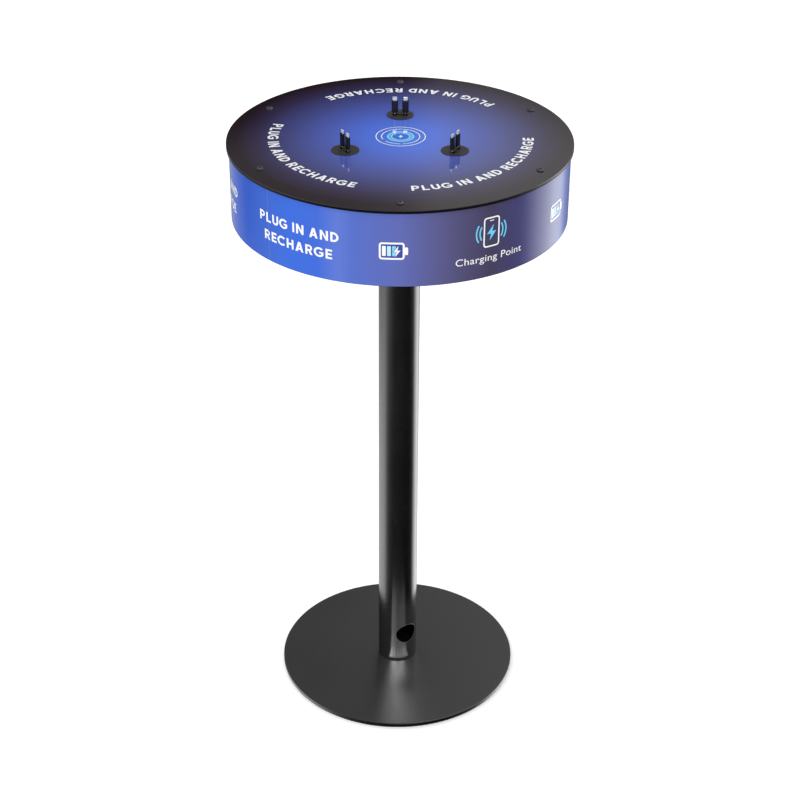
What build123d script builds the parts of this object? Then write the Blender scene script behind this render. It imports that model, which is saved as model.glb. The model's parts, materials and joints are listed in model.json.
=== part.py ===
from build123d import *
from math import pi, radians, tan
import os

# Phone charging kiosk: a round drum head on a pole and a flat disc base.
# Millimetres, +Z up. The origin is the centre of the base, on the floor.

# Driving dimensions
PANEL_TOP = 1138.0         # floor to the upper face of the top panel
PANEL_R = 304.8            # top panel, 24 in across
DRUM_R = 300.4             # outside of the drum's printed film
DRUM_BOTTOM = 999.0
POLE_R = 38.1              # 3 in tube
BASE_R = 233.0
BASE_TOP = 10.0
STATION_R = 109.5          # centre of the kiosk to the centre of a plug station

# Base and its feet
BASE_EDGE_R = 1.2          # rounding of the plate's upper and lower edges
PAD_STAND = 1.0            # the pads hold the plate this far off the floor
PAD_TOP = 2.5              # depth of the pad's seat, from the floor
PAD_R = 16.0
PAD_RING_R = 200.0
PAD_COUNT = 6

# Pole, its foot plug and its top flange
POLE_WALL = 2.0
POLE_TOP = DRUM_BOTTOM - 5.0
FOOT_PLUG_TOP = BASE_TOP + 20.0
WELD_GAP = 0.05            # radial gap of a part that is slid in and welded
FOOT_BOLT_RING_R = 22.0
FOOT_BOLT_COUNT = 3
FOOT_BOLT_R = 5.0
FOOT_HEAD_R = 8.0
FOOT_HEAD_BOTTOM = 1.5
FOOT_HEAD_TOP = 6.5
CABLE_HOLE_R = 21.3
CABLE_HOLE_Z = 77.0
CABLE_HOLE_ANGLE = -59.6   # about +Z from +X, so 30 degrees right of the front
FLANGE_R = 90.0
FLANGE_HOLE_R = 30.0
FLANGE_BOLT_RING_R = 70.0
FLANGE_BOLT_COUNT = 4
FLANGE_BOLT_R = 4.0

# Drum: floor pan, rolled shell, printed film and posts
SHEET = 2.0
FILM = 0.4
SHELL_R = DRUM_R - FILM
FLOOR_TOP = DRUM_BOTTOM + SHEET
FLOOR_R = SHELL_R - SHEET - WELD_GAP
FLOOR_RIM_TOP = DRUM_BOTTOM + 16.0
VENT_LENGTH = 46.0
VENT_WIDTH = 5.0
VENT_PITCH = 14.0
VENT_ROWS = 5
VENT_RING_R = 165.0
VENT_ANGLES = (0, 180, 270)
POST_RING_R = 274.0
POST_R = 9.0
POST_ANGLES = (-90, -30, 30, 90, 150, 210)
POST_SCREW_R = 3.0
POST_THREAD = 16.0

# Top panel: black board under a clear sheet that is printed on its back
CLEAR_SHEET = 1.5
BOARD_TOP = PANEL_TOP - CLEAR_SHEET
BOARD_BOTTOM = PANEL_TOP - 5.5
TOP_SCREW_HEAD_R = 6.5
TOP_SCREW_HEAD = 3.0

# Plug stations, in their own frame: X outward, Y along the axle, Z from the panel
STATIONS = {"rear": 90, "left": 210, "right": 330}
STATION_PLATE_R = 24.5
STATION_EDGE_R = 0.5
STATION_PLATE = 1.2
BARREL_R = 17.0
BARREL_BORE_R = 15.0
BARREL_LENGTH = 28.0
NUT_R = 23.0
NUT = 8.0
PLUG_OFFSET = 9.6          # station centre to each plug, along the axle
AXLE_R = 1.5
AXLE_Z = STATION_PLATE + 1.8
AXLE_HEAD_R = 2.1
AXLE_HEAD = 1.0
PRESS_GAP = 0.02
RUNNING_GAP = 0.06
SIDE_GAP = 0.3
RIB_HALF_WIDTH = 1.9
KNUCKLE_R = 3.5
KNUCKLE_POCKET_R = 5.2

# Plugs, in their own frame: the axle's centre is the origin
PLUG_WIDTH = 11.4
PLUG_THICK = 6.0
PLUG_BOTTOM = 3.9
PLUG_TOP = 25.6
PLUG_EDGE_R = 0.9
NECK_WIDTH = 4.6
NECK_THICK = 3.6
NECK_BOTTOM = 1.4
TIP_TOP = PLUG_TOP + 5.9
TIP_ROOT = PLUG_TOP - 3.0
BLADE_WIDTH = 7.6
BLADE_THICK = 1.9
OVAL_WIDTH = 8.2
OVAL_THICK = 2.6
OVAL_WALL = 0.35
OVAL_TONGUE = 0.7

# Wireless charger under the middle of the panel
PUCK_R = 48.0
PUCK_BOTTOM = BOARD_BOTTOM - 14.0
PUCK_WALL = 2.0
COIL_R = 24.0
COIL_BORE_R = 10.0
COIL = 1.5
FERRITE_R = 26.0
FERRITE = 1.0

# Multi-port charger on the drum floor
CASE_X = 170.0
CASE_Y = 100.0
CASE_Z = 42.0
CASE_CENTRE_Y = 170.0
CASE_WALL = 2.0
CASE_TOP = FLOOR_TOP + CASE_Z
CASE_FRONT = CASE_CENTRE_Y - CASE_Y / 2
CORNER_POST_R = 4.0
CORNER_POST_INSET = 7.0
CASE_SCREW_R = 1.5
CASE_SCREW = 10.0
BOARD_Z = FLOOR_TOP + 8.0
BOARD_THICK = 1.6
GLAND_BORE_R = 4.5
GLAND_R = 8.0
GLAND_HEAD_R = 11.0
GLAND_HEAD = 9.0

# Internal leads and the plugs that join them to the charger
LEAD_R = 1.8
PORT_Z = FLOOR_TOP + 21.0
PORT_X = {"left": -54.0, "wireless": -18.0, "rear": 18.0, "right": 54.0}
PORT_WIDTH = 13.0
PORT_HEIGHT = 5.6
LEAD_PLUG_WIDTH = 17.0
LEAD_PLUG_HEIGHT = 9.0
LEAD_PLUG_LENGTH = 24.0
LEAD_END_Y = CASE_FRONT - LEAD_PLUG_LENGTH
LEAD_START_Z = PANEL_TOP - 14.0


def rod(radius, z_low, z_high):
    """An upright round bar or disc on the Z axis, between two heights."""
    upright = (Align.CENTER, Align.CENTER, Align.MIN)
    return Pos(0, 0, z_low) * Cylinder(radius, z_high - z_low, align=upright)


def tube(outer_r, inner_r, z_low, z_high):
    return rod(outer_r, z_low, z_high) - rod(inner_r, z_low - 1, z_high + 1)


def rod_along_y(radius, y_low, y_high, z=0.0):
    """A round bar along Y."""
    centre = Pos(0, (y_low + y_high) / 2, z)
    return centre * Rot(90, 0, 0) * Cylinder(radius, y_high - y_low)


def block(x_low, x_high, y_low, y_high, z_low, z_high):
    centre = Pos((x_low + x_high) / 2, (y_low + y_high) / 2, (z_low + z_high) / 2)
    return centre * Box(x_high - x_low, y_high - y_low, z_high - z_low)


def hexagon(flat_r, z_low, z_high):
    """A hexagonal bar, flat_r from its centre to a flat."""
    outline = RegularPolygon(flat_r, 6, major_radius=False)
    return Pos(0, 0, z_low) * extrude(outline, z_high - z_low)


def ring_of(shape, radius, angles):
    """Copies of a shape made at the origin, moved out to a radius and turned to each angle."""
    return [Rot(0, 0, angle) * Pos(radius, 0, 0) * shape for angle in angles]


def even_angles(count, first=0.0):
    return [first + 360.0 * step / count for step in range(count)]


def group(shapes):
    """Separate solids that share one node."""
    return Compound(children=list(shapes))


def lowest_edges(shape):
    return shape.edges().group_by(Axis.Z)[0]


def highest_edges(shape):
    return shape.edges().group_by(Axis.Z)[-1]


# Base -----------------------------------------------------------------------------------

def base_plate():
    plate = rod(BASE_R, PAD_STAND, BASE_TOP)
    plate = fillet(highest_edges(plate), BASE_EDGE_R)
    plate = fillet(lowest_edges(plate), BASE_EDGE_R)
    seat = rod(PAD_R, 0, PAD_TOP)
    head_bore = rod(FOOT_HEAD_R + 1.0, 0, FOOT_HEAD_TOP)
    shank_bore = rod(FOOT_BOLT_R + 0.3, 0, BASE_TOP + 1)
    plate -= ring_of(seat, PAD_RING_R, even_angles(PAD_COUNT))
    plate -= ring_of(head_bore + shank_bore, FOOT_BOLT_RING_R, even_angles(FOOT_BOLT_COUNT))
    return plate


def base_pads():
    pad = chamfer(lowest_edges(rod(PAD_R - 0.1, 0, PAD_TOP)), 0.5)
    return group(ring_of(pad, PAD_RING_R, even_angles(PAD_COUNT)))


def foot_bolts():
    """Socket cap screws, up through the base plate into the foot plug."""
    head = fillet(lowest_edges(rod(FOOT_HEAD_R, FOOT_HEAD_BOTTOM, FOOT_HEAD_TOP)), 0.8)
    bolt = head + rod(FOOT_BOLT_R - WELD_GAP, FOOT_HEAD_TOP, FOOT_PLUG_TOP - 3)
    bolt -= hexagon(4.0, FOOT_HEAD_BOTTOM - 1, FOOT_HEAD_BOTTOM + 3)
    return group(ring_of(bolt, FOOT_BOLT_RING_R, even_angles(FOOT_BOLT_COUNT)))


# Pole -----------------------------------------------------------------------------------

def foot_plug():
    plug = rod(POLE_R - POLE_WALL - WELD_GAP, BASE_TOP, FOOT_PLUG_TOP)
    thread = rod(FOOT_BOLT_R, BASE_TOP - 1, FOOT_PLUG_TOP + 1)
    return plug - ring_of(thread, FOOT_BOLT_RING_R, even_angles(FOOT_BOLT_COUNT))


def pole_tube():
    pole = tube(POLE_R, POLE_R - POLE_WALL, BASE_TOP, POLE_TOP)
    drill = Pos(POLE_R, 0, CABLE_HOLE_Z) * Rot(0, 90, 0) * Cylinder(CABLE_HOLE_R, POLE_R)
    return pole - Rot(0, 0, CABLE_HOLE_ANGLE) * drill


def pole_flange():
    flange = tube(FLANGE_R, FLANGE_HOLE_R, POLE_TOP, DRUM_BOTTOM)
    flange = chamfer(flange.edges().filter_by(GeomType.CIRCLE).sort_by(SortBy.RADIUS)[-2:], 0.6)
    hole = rod(FLANGE_BOLT_R + 0.3, POLE_TOP - 1, DRUM_BOTTOM + 1)
    return flange - ring_of(hole, FLANGE_BOLT_RING_R, even_angles(FLANGE_BOLT_COUNT, 45))


def flange_bolts():
    bolt = hexagon(6.5, POLE_TOP - 5.3, POLE_TOP) + rod(FLANGE_BOLT_R, POLE_TOP, FLOOR_TOP + 10)
    return group(ring_of(bolt, FLANGE_BOLT_RING_R, even_angles(FLANGE_BOLT_COUNT, 45)))


def flange_nuts():
    nut = hexagon(6.5, FLOOR_TOP, FLOOR_TOP + 6.5)
    nut -= rod(FLANGE_BOLT_R + PRESS_GAP, FLOOR_TOP - 1, FLOOR_TOP + 8)
    return group(ring_of(nut, FLANGE_BOLT_RING_R, even_angles(FLANGE_BOLT_COUNT, 45)))


# Drum -----------------------------------------------------------------------------------

def drum_floor():
    """A pan: flat sheet with a turned-up rim, a cable hole and rows of cooling slots."""
    pan = rod(FLOOR_R, DRUM_BOTTOM, FLOOR_RIM_TOP) - rod(FLOOR_R - SHEET, FLOOR_TOP, PANEL_TOP)
    pan -= rod(FLANGE_HOLE_R, DRUM_BOTTOM - 1, PANEL_TOP)
    bolt_hole = rod(FLANGE_BOLT_R + 0.3, DRUM_BOTTOM - 1, FLOOR_TOP + 1)
    screw_hole = rod(POST_SCREW_R + 0.2, DRUM_BOTTOM - 1, FLOOR_TOP + 1)
    slot = Pos(0, 0, DRUM_BOTTOM - 1) * extrude(SlotOverall(VENT_LENGTH, VENT_WIDTH), SHEET + 2)
    middle = (VENT_ROWS - 1) / 2
    slots = [Pos(0, (row - middle) * VENT_PITCH, 0) * slot for row in range(VENT_ROWS)]
    pan -= ring_of(bolt_hole, FLANGE_BOLT_RING_R, even_angles(FLANGE_BOLT_COUNT, 45))
    pan -= ring_of(screw_hole, POST_RING_R, POST_ANGLES)
    pan -= [copy for slot in slots for copy in ring_of(slot, VENT_RING_R, VENT_ANGLES)]
    case_hole = rod(CASE_SCREW_R + 0.2, DRUM_BOTTOM - 1, FLOOR_TOP + 1)
    return pan - [place * case_hole for place in case_corners()]


def drum_shell():
    return tube(SHELL_R, SHELL_R - SHEET, DRUM_BOTTOM, BOARD_BOTTOM)


def graphic_wrap():
    return tube(DRUM_R, SHELL_R, DRUM_BOTTOM + 0.5, BOARD_BOTTOM - 0.5)


def frame_post(angle):
    post = rod(POST_R, FLOOR_TOP, BOARD_BOTTOM)
    post = chamfer(highest_edges(post) + lowest_edges(post), 0.6)
    post -= rod(POST_SCREW_R, FLOOR_TOP - 1, FLOOR_TOP + POST_THREAD)
    post -= rod(POST_SCREW_R, BOARD_BOTTOM - POST_THREAD, BOARD_BOTTOM + 1)
    return ring_of(post, POST_RING_R, [angle])[0]


def post_screws():
    head = fillet(lowest_edges(rod(5.5, DRUM_BOTTOM - 3.3, DRUM_BOTTOM)), 1.6)
    screw = head + rod(POST_SCREW_R - WELD_GAP, DRUM_BOTTOM, FLOOR_TOP + POST_THREAD - 4)
    screw -= hexagon(2.0, DRUM_BOTTOM - 4, DRUM_BOTTOM - 1.5)
    return group(ring_of(screw, POST_RING_R, POST_ANGLES))


# Top panel ------------------------------------------------------------------------------

def panel_layer(z_low, z_high):
    """A round sheet with the holes for the posts' screws and the stations' barrels."""
    layer = rod(PANEL_R, z_low, z_high)
    screw_hole = rod(POST_SCREW_R + 0.3, z_low - 1, z_high + 1)
    barrel_hole = rod(BARREL_R + 0.2, z_low - 1, z_high + 1)
    layer -= ring_of(screw_hole, POST_RING_R, POST_ANGLES)
    layer -= ring_of(barrel_hole, STATION_R, STATIONS.values())
    return layer


def top_screws():
    """Low button heads on the panel, threaded into the posts."""
    head = fillet(highest_edges(rod(TOP_SCREW_HEAD_R, PANEL_TOP, PANEL_TOP + TOP_SCREW_HEAD)), 2.4)
    screw = head + rod(POST_SCREW_R - WELD_GAP, BOARD_BOTTOM - POST_THREAD + 4, PANEL_TOP)
    screw -= hexagon(2.0, PANEL_TOP + 0.9, PANEL_TOP + TOP_SCREW_HEAD + 1)
    return group(ring_of(screw, POST_RING_R, POST_ANGLES))


# Plug stations --------------------------------------------------------------------------

def at_station(angle):
    return Rot(0, 0, angle) * Pos(STATION_R, 0, PANEL_TOP)


def station_plate():
    """A round plate with a threaded barrel below and the axle's rib across its middle."""
    plate = rod(STATION_PLATE_R, 0, STATION_PLATE)
    plate = fillet(highest_edges(plate), STATION_EDGE_R)
    plate += tube(BARREL_R, BARREL_BORE_R, -BARREL_LENGTH, 0)
    rib_end = PLUG_OFFSET - KNUCKLE_R - SIDE_GAP
    plate += block(-RIB_HALF_WIDTH, RIB_HALF_WIDTH, -rib_end, rib_end, STATION_PLATE / 2, AXLE_Z)
    plate += rod_along_y(RIB_HALF_WIDTH, -rib_end, rib_end, AXLE_Z)
    plate -= rod_along_y(AXLE_R + PRESS_GAP, -rib_end - 1, rib_end + 1, AXLE_Z)
    pocket = rod(KNUCKLE_POCKET_R, -1, STATION_PLATE + 1)
    pockets = [Pos(0, side * PLUG_OFFSET, 0) * pocket for side in (-1, 1)]
    keep_rib = block(-RIB_HALF_WIDTH, RIB_HALF_WIDTH, -rib_end, rib_end, -1, STATION_PLATE + 1)
    return plate - [hole - keep_rib for hole in pockets]


def station_nut():
    nut = hexagon(NUT_R, BOARD_BOTTOM - PANEL_TOP - NUT, BOARD_BOTTOM - PANEL_TOP)
    return nut - rod(BARREL_R + PRESS_GAP, -BARREL_LENGTH, 0)


def plug_axle():
    """One pin for both plugs of a station, with a domed head outside each knuckle."""
    reach = PLUG_OFFSET + KNUCKLE_R + SIDE_GAP
    pin = rod_along_y(AXLE_R, -reach, reach, AXLE_Z)
    head = fillet(highest_edges(rod(AXLE_HEAD_R, 0, AXLE_HEAD)), 0.7)
    for side in (-1, 1):
        pin += Pos(0, side * reach, AXLE_Z) * Rot(-90 * side, 0, 0) * head
    return pin


def stadium(width, thickness, z):
    """A flat outline with round ends, its length along Y."""
    return Pos(0, 0, z) * Rot(0, 0, 90) * SlotOverall(width, thickness)


def stadium_bar(width, thickness, z_low, z_high):
    return extrude(stadium(width, thickness, z_low), z_high - z_low)


def blade_tip():
    return fillet(highest_edges(stadium_bar(BLADE_WIDTH, BLADE_THICK, TIP_ROOT, TIP_TOP)), 0.5)


def oval_tip():
    """A hollow oval shell with a flat tongue inside."""
    shell = stadium_bar(OVAL_WIDTH, OVAL_THICK, TIP_ROOT, TIP_TOP)
    shell -= stadium_bar(OVAL_WIDTH - 2 * OVAL_WALL, OVAL_THICK - 2 * OVAL_WALL, PLUG_TOP + 0.5,
                         TIP_TOP + 1)
    half_tongue = OVAL_WIDTH / 2 - 3 * OVAL_WALL
    return shell + block(-OVAL_TONGUE / 2, OVAL_TONGUE / 2, -half_tongue, half_tongue, PLUG_TOP,
                         TIP_TOP - 0.8)


def plug_body(tip_width, tip_thick):
    """Moulded grip on a round knuckle, with a seat for the metal tip."""
    grip = fillet(highest_edges(stadium_bar(PLUG_WIDTH, PLUG_THICK, PLUG_BOTTOM, PLUG_TOP)),
                  PLUG_EDGE_R)
    neck = loft([stadium(NECK_WIDTH, NECK_THICK, NECK_BOTTOM),
                 stadium(PLUG_WIDTH, PLUG_THICK, PLUG_BOTTOM)])
    body = grip + neck + Sphere(KNUCKLE_R)
    body -= rod_along_y(AXLE_R + RUNNING_GAP, -PLUG_OFFSET, PLUG_OFFSET)
    return body - stadium_bar(tip_width, tip_thick, TIP_ROOT, PLUG_TOP + 1)


def station_nodes(name, angle):
    station = at_station(angle)
    nodes = {
        f"{name}_station_plate": station * station_plate(),
        f"{name}_station_nut": station * station_nut(),
        f"{name}_plug_axle": station * plug_axle(),
    }
    plugs = (("blade", -1, blade_tip(), plug_body(BLADE_WIDTH, BLADE_THICK)),
             ("oval", 1, oval_tip(), plug_body(OVAL_WIDTH, OVAL_THICK)))
    for kind, side, tip, body in plugs:
        place = station * Pos(0, side * PLUG_OFFSET, AXLE_Z)
        nodes[f"{name}_{kind}_plug_body"] = place * body
        nodes[f"{name}_{kind}_plug_tip"] = place * tip
    return nodes


# Wireless charger -----------------------------------------------------------------------

def wireless_puck():
    puck = rod(PUCK_R, PUCK_BOTTOM, BOARD_BOTTOM)
    puck = fillet(lowest_edges(puck), 2.0)
    return puck - rod(PUCK_R - PUCK_WALL, PUCK_BOTTOM + PUCK_WALL, BOARD_BOTTOM + 1)


def ferrite_sheet():
    return rod(FERRITE_R, PUCK_BOTTOM + PUCK_WALL, PUCK_BOTTOM + PUCK_WALL + FERRITE)


def wireless_coil():
    coil_bottom = PUCK_BOTTOM + PUCK_WALL + FERRITE
    return tube(COIL_R, COIL_BORE_R, coil_bottom, coil_bottom + COIL)


# Charger --------------------------------------------------------------------------------

def case_corners():
    """Where the case's corner posts stand, on the floor's plane."""
    reach_x = CASE_X / 2 - CORNER_POST_INSET
    reach_y = CASE_Y / 2 - CORNER_POST_INSET
    return [Pos(x, CASE_CENTRE_Y + y, 0) for x in (-reach_x, reach_x) for y in (-reach_y, reach_y)]


def case_block(inset, z_low, z_high):
    half_x = CASE_X / 2 - inset
    half_y = CASE_Y / 2 - inset
    return block(-half_x, half_x, CASE_CENTRE_Y - half_y, CASE_CENTRE_Y + half_y, z_low, z_high)


def charger_case():
    """An open box with corner posts, a port for each lead and a hole for the gland."""
    case = case_block(0, FLOOR_TOP, CASE_TOP)
    case = fillet(case.edges().filter_by(Axis.Z), 3.0)
    case -= case_block(CASE_WALL, FLOOR_TOP + CASE_WALL, CASE_TOP + 1)
    case += [place * rod(CORNER_POST_R, FLOOR_TOP + 1, CASE_TOP) for place in case_corners()]
    screw_hole = rod(CASE_SCREW_R + WELD_GAP, FLOOR_TOP - 1, FLOOR_TOP + CASE_SCREW + 1)
    lid_hole = rod(CASE_SCREW_R + WELD_GAP, CASE_TOP - CASE_SCREW - 1, CASE_TOP + 1)
    case -= [place * (screw_hole + lid_hole) for place in case_corners()]
    ports = [block(x - PORT_WIDTH / 2, x + PORT_WIDTH / 2, CASE_FRONT - 1, CASE_FRONT + CASE_WALL + 1,
                   PORT_Z - PORT_HEIGHT / 2, PORT_Z + PORT_HEIGHT / 2) for x in PORT_X.values()]
    return case - ports - gland_place() * rod(GLAND_R + 0.1, -CASE_WALL - 1, 1)


def charger_lid():
    lid = case_block(0, CASE_TOP, CASE_TOP + CASE_WALL)
    lid = fillet(lid.edges().filter_by(Axis.Z), 3.0)
    hole = rod(CASE_SCREW_R + 0.2, CASE_TOP - 1, CASE_TOP + CASE_WALL + 1)
    return lid - [place * hole for place in case_corners()]


def charger_board():
    """Circuit board, clear of the corner posts and the ports."""
    return case_block(2 * CORNER_POST_INSET, BOARD_Z, BOARD_Z + BOARD_THICK)


def board_pillars():
    """Four pillars that hold the board off the case's floor."""
    pillar = rod(3.0, FLOOR_TOP + CASE_WALL, BOARD_Z)
    reach_x = CASE_X / 2 - 3 * CORNER_POST_INSET
    reach_y = CASE_Y / 2 - 3 * CORNER_POST_INSET
    return group(Pos(x, CASE_CENTRE_Y + y, 0) * pillar
                 for x in (-reach_x, reach_x) for y in (-reach_y, reach_y))


def charger_screws():
    """Four screws through the lid, and four up through the drum floor."""
    lid_top = CASE_TOP + CASE_WALL
    head = fillet(highest_edges(rod(3.0, lid_top, lid_top + 1.8)), 0.9)
    lid_screw = head + rod(CASE_SCREW_R, lid_top - CASE_SCREW, lid_top)
    head = fillet(lowest_edges(rod(3.0, DRUM_BOTTOM - 1.8, DRUM_BOTTOM)), 0.9)
    floor_screw = head + rod(CASE_SCREW_R, DRUM_BOTTOM, DRUM_BOTTOM + CASE_SCREW)
    return group(place * screw for place in case_corners() for screw in (lid_screw, floor_screw))


def gland_place():
    """The gland's seat on the case's left wall, its own +Z pointing out along -X."""
    return Pos(-CASE_X / 2, CASE_CENTRE_Y + 10, PORT_Z) * Rot(0, -90, 0)


def mains_gland():
    gland = hexagon(GLAND_HEAD_R, 0, GLAND_HEAD) + rod(GLAND_R, -CASE_WALL - 8, 0)
    gland -= rod(GLAND_BORE_R, -CASE_WALL - 9, GLAND_HEAD + 1)
    return gland_place() * gland


# Internal leads -------------------------------------------------------------------------

def lead_plug(x):
    """Plug at the charger's end of a lead: a moulded grip and a flat tongue in the port."""
    grip = block(x - LEAD_PLUG_WIDTH / 2, x + LEAD_PLUG_WIDTH / 2, LEAD_END_Y, CASE_FRONT,
                 PORT_Z - LEAD_PLUG_HEIGHT / 2, PORT_Z + LEAD_PLUG_HEIGHT / 2)
    grip = fillet(grip.edges().filter_by(Axis.Y), 1.5)
    gap = 0.2
    tongue = block(x - PORT_WIDTH / 2 + gap, x + PORT_WIDTH / 2 - gap, CASE_FRONT,
                   CASE_FRONT + CASE_WALL + 6, PORT_Z - PORT_HEIGHT / 2 + gap,
                   PORT_Z + PORT_HEIGHT / 2 - gap)
    return grip + tongue


def corner_radii(points):
    """The largest arc that each corner's shorter run has room for."""
    radii = []
    for before, corner, after in zip(points, points[1:], points[2:]):
        run_in = Vector(corner) - Vector(before)
        run_out = Vector(after) - Vector(corner)
        half_turn = radians(run_in.get_angle(run_out)) / 2
        radii.append(0.45 * min(run_in.length, run_out.length) / tan(half_turn))
    return radii


def lead(name, points):
    """A round lead along straight runs joined by tangent arcs."""
    radii = corner_radii(points)
    path = FilletPolyline(*points, radius=radii)
    start = Plane(origin=path @ 0, z_dir=path % 0)
    solid = sweep(start * Circle(LEAD_R), path=path)
    share = solid.volume / (pi * LEAD_R ** 2 * path.length)
    arcs = ", ".join(f"{radius:.1f}" for radius in radii)
    print(f"{name}: length {path.length:.0f} mm, arc radii {arcs}, volume ratio {share:.4f}")
    return solid


def lead_routes():
    """Each lead's corners, from its station or the wireless puck to its charger port."""
    left = at_station(STATIONS["left"]).position
    right = at_station(STATIONS["right"]).position
    rear = at_station(STATIONS["rear"]).position
    routes = {}
    for name, start in (("left", left), ("right", right)):
        port = PORT_X[name]
        routes[name] = [(start.X, start.Y, LEAD_START_Z), (start.X, start.Y, 1088),
                        (start.X * 0.94, start.Y + 38, 1056), (start.X * 0.8, 22, 1034),
                        (port, 60, PORT_Z), (port, LEAD_END_Y, PORT_Z)]
    routes["rear"] = [(rear.X, rear.Y, LEAD_START_Z), (rear.X, rear.Y, 1090), (8, 84, 1068),
                      (PORT_X["rear"], 52, 1062), (PORT_X["rear"], 46, PORT_Z + 6),
                      (PORT_X["rear"], 70, PORT_Z), (PORT_X["rear"], LEAD_END_Y, PORT_Z)]
    routes["wireless"] = [(-30, 32, PUCK_BOTTOM), (-30, 32, 1086), (-24, 40, 1056),
                          (PORT_X["wireless"], 58, PORT_Z + 6), (PORT_X["wireless"], 76, PORT_Z),
                          (PORT_X["wireless"], LEAD_END_Y, PORT_Z)]
    return routes


# All nodes ------------------------------------------------------------------------------

nodes = {
    "base_plate": base_plate(),
    "base_pads": base_pads(),
    "foot_bolts": foot_bolts(),
    "foot_plug": foot_plug(),
    "pole_tube": pole_tube(),
    "pole_flange": pole_flange(),
    "flange_bolts": flange_bolts(),
    "flange_nuts": flange_nuts(),
    "drum_floor": drum_floor(),
    "drum_shell": drum_shell(),
    "graphic_wrap": graphic_wrap(),
    "post_screws": post_screws(),
    "top_board": panel_layer(BOARD_BOTTOM, BOARD_TOP),
    "top_sheet": panel_layer(BOARD_TOP, PANEL_TOP),
    "top_screws": top_screws(),
    "wireless_puck": wireless_puck(),
    "ferrite_sheet": ferrite_sheet(),
    "wireless_coil": wireless_coil(),
    "charger_case": charger_case(),
    "charger_lid": charger_lid(),
    "charger_board": charger_board(),
    "board_pillars": board_pillars(),
    "charger_screws": charger_screws(),
    "mains_gland": mains_gland(),
}
for number, angle in enumerate(POST_ANGLES, 1):
    nodes[f"frame_post_{number}"] = frame_post(angle)
for name, angle in STATIONS.items():
    nodes.update(station_nodes(name, angle))
for name, points in lead_routes().items():
    nodes[f"{name}_lead"] = lead(name, points)
    nodes[f"{name}_lead_plug"] = lead_plug(PORT_X[name])

os.makedirs("parts", exist_ok=True)
for name, shape in nodes.items():
    export_step(shape, f"parts/{name}.step")
print(len(nodes), "nodes")
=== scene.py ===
import json
from itertools import product
from math import ceil, cos, hypot, pi, radians, sin, sqrt

import bmesh
import bpy
from mathutils import Matrix, Vector


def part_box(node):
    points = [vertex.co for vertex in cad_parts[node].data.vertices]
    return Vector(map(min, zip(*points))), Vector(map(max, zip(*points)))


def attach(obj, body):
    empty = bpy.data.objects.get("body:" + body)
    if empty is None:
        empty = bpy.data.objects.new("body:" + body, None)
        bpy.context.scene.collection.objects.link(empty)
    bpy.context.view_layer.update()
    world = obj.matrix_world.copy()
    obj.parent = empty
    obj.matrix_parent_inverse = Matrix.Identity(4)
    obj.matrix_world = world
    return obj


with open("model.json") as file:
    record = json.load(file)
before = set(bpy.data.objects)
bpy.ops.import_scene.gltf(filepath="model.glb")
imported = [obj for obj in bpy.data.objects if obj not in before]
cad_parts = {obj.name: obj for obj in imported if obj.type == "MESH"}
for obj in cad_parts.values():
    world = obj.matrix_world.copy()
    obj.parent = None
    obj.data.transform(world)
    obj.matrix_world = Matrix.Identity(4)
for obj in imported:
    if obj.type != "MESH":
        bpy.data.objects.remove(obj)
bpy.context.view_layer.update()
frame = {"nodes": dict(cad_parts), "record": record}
nodes = frame["nodes"]
MM = 0.001

# Places and sizes that come from the frame
PANEL_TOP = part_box("top_sheet")[1].z
PANEL_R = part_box("top_sheet")[1].x
DRUM_R = max(hypot(vertex.co.x, vertex.co.y) for vertex in nodes["graphic_wrap"].data.vertices)
DRUM_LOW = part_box("graphic_wrap")[0].z
DRUM_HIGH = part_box("graphic_wrap")[1].z
POLE_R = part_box("pole_tube")[1].x
BASE_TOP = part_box("base_plate")[1].z

# The cable outlet near the pole's foot: its angle goes from +X towards +Y
OUTLET_R = 21.3 * MM
OUTLET_Z = 77.0 * MM
OUTLET_ANGLE = -59.6
RIM_WIDTH = 0.8 * MM
RIM_STEPS = 96
RIM_SUNK = 0.6 * MM        # how far the rim goes into the pole's wall
RIM_PROUD = 0.05 * MM      # and how far it stands out of it
INSIDE_WALL = 1.0 * MM     # deeper than this in the pole's wall, the coat doesn't shine

# Prints on the top panel. Their centre is a little behind the panel's own.
PRINT_CENTRE = Vector((0.0010, 0.0085))
TOP_TEXT = "PLUG IN AND RECHARGE"
TOP_TEXT_R = 0.2337
TOP_TEXT_CAP = 0.0195
TOP_TEXT_SPAN = 84.5
TOP_TEXT_ANGLES = (316.8, 84.5, 208.3)

# Prints round the drum: angles go from the front (-Y) towards +X
DRUM_TEXT_ANGLES = (-84.2, -35.45, 95.6, 226.6)
DRUM_TEXT_LINES = (("PLUG IN AND", 1.0794, 31.9), ("RECHARGE", 1.0469, 27.4))
DRUM_TEXT_CAP = 0.0176
BATTERY_ANGLES = (-2.5, 62.7, 128.3, 193.8)
BATTERY_Z = 1.0641
EMBLEM_ANGLES = (30.3, 161.0)
EMBLEM_Z = 1.081
CAPTION_Z = 1.0330
CAPTION_SPAN = 24.8
CAPTION_HEIGHT = 0.0165
SEAM_ANGLE = -47.2
LIFT = 0.10 * MM           # a print's height over the film or sheet
INK = 0.08 * MM            # a print's own thickness
SLICE = 2.5 * MM           # between the cuts that let a print follow a curve
MERGE = 0.001 * MM         # points nearer than this are one

# The camera, from a fit to the kiosk's outlines: place in metres, turns in degrees
CAMERA_PLACE = (-0.0040, -3.0441, 2.3913)
CAMERA_YAW = -0.122
CAMERA_DOWN = 30.389
CAMERA_ROLL = 0.329
LENS = 83.65
SENSOR = 36.0


# Shader nodes ---------------------------------------------------------------------------

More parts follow.
